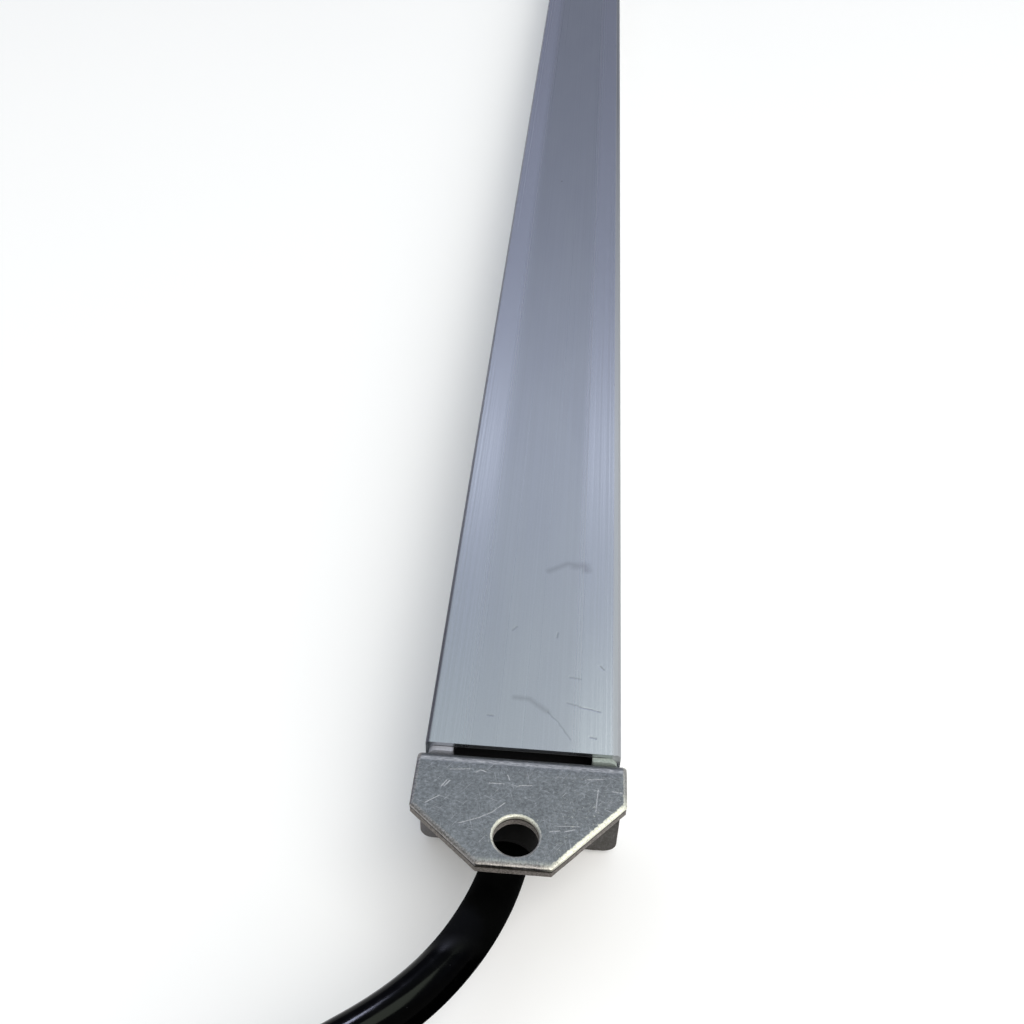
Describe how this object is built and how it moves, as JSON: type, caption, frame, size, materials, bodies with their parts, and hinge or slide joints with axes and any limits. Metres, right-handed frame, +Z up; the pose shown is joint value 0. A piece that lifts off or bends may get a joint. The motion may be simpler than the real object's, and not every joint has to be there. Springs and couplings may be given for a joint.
{
  "type": "led light bar",
  "caption": "Slim aluminium LED light bar with an L-shaped screw bracket on each end, a plain back face, an opal front cover and a short plug-in supply lead.",
  "frame": {"origin": "bottom centre of the bar with its two brackets, lens down, without the loose lead", "axes": "+Z up out of the plain back face, +Y along the bar away from the lead, X across the bar"},
  "size_m": [0.0589, 0.7288, 0.021],
  "materials": {
    "bar_aluminium": "natural anodised extrusion, satin, fine lengthwise lines",
    "opal_lens": "opal polycarbonate, satin",
    "clear_seal": "translucent silicone",
    "thermal_tape": "white thermal tape",
    "board_mask": "white solder mask",
    "led_body": "white moulded package",
    "led_phosphor": "yellow phosphor gel",
    "chip_ceramic": "black component body",
    "solder": "bright solder",
    "wire_red": "red core insulation",
    "wire_black": "black core insulation",
    "cable_jacket": "glossy black flexible jacket",
    "nylon": "natural nylon",
    "nylon_black": "black nylon",
    "black_rubber": "matt black rubber",
    "gasket_rubber": "pale grey-green translucent rubber",
    "bracket_sheet": "dull mill-finish metal sheet with sheared edges",
    "fastener_steel": "zinc-plated steel",
    "connector_rubber": "matt black over-mould",
    "connector_plastic": "black glass-filled nylon",
    "connector_insert": "dark grey contact carrier",
    "pin_brass": "gold-flashed brass",
    "seal_red": "red silicone ring"
  },
  "bodies": {
    "root": {"housing_extrusion": "bar_aluminium", "lens_cover": "opal_lens", "lens_seal_left": "clear_seal", "lens_seal_right": "clear_seal", "board_tape": "thermal_tape", "led_board": "board_mask", "leds": "led_body", "led_phosphor": "led_phosphor", "resistors": "chip_ceramic", "polarity_diode": "chip_ceramic", "solder_joints": "solder", "wire_red": "wire_red", "wire_black": "wire_black", "cable_inlet": "cable_jacket", "supply_cable": "cable_jacket", "cable_coil": "cable_jacket", "cable_tail": "cable_jacket", "inner_cable_tie": "nylon", "coil_ties": "nylon_black", "cable_grommet": "black_rubber", "gasket_cable_end": "gasket_rubber", "gasket_blind_end": "gasket_rubber", "bracket_cable_end": "bracket_sheet", "bracket_blind_end": "bracket_sheet", "washers_cable_end": "fastener_steel", "washers_blind_end": "fastener_steel", "end_screws_cable_end": "fastener_steel", "end_screws_blind_end": "fastener_steel", "connector_boot": "connector_rubber", "connector_body": "connector_plastic", "connector_nut": "connector_plastic", "connector_insert": "connector_insert", "connector_pins": "pin_brass", "connector_seal": "seal_red"}
  },
  "joints": []
}
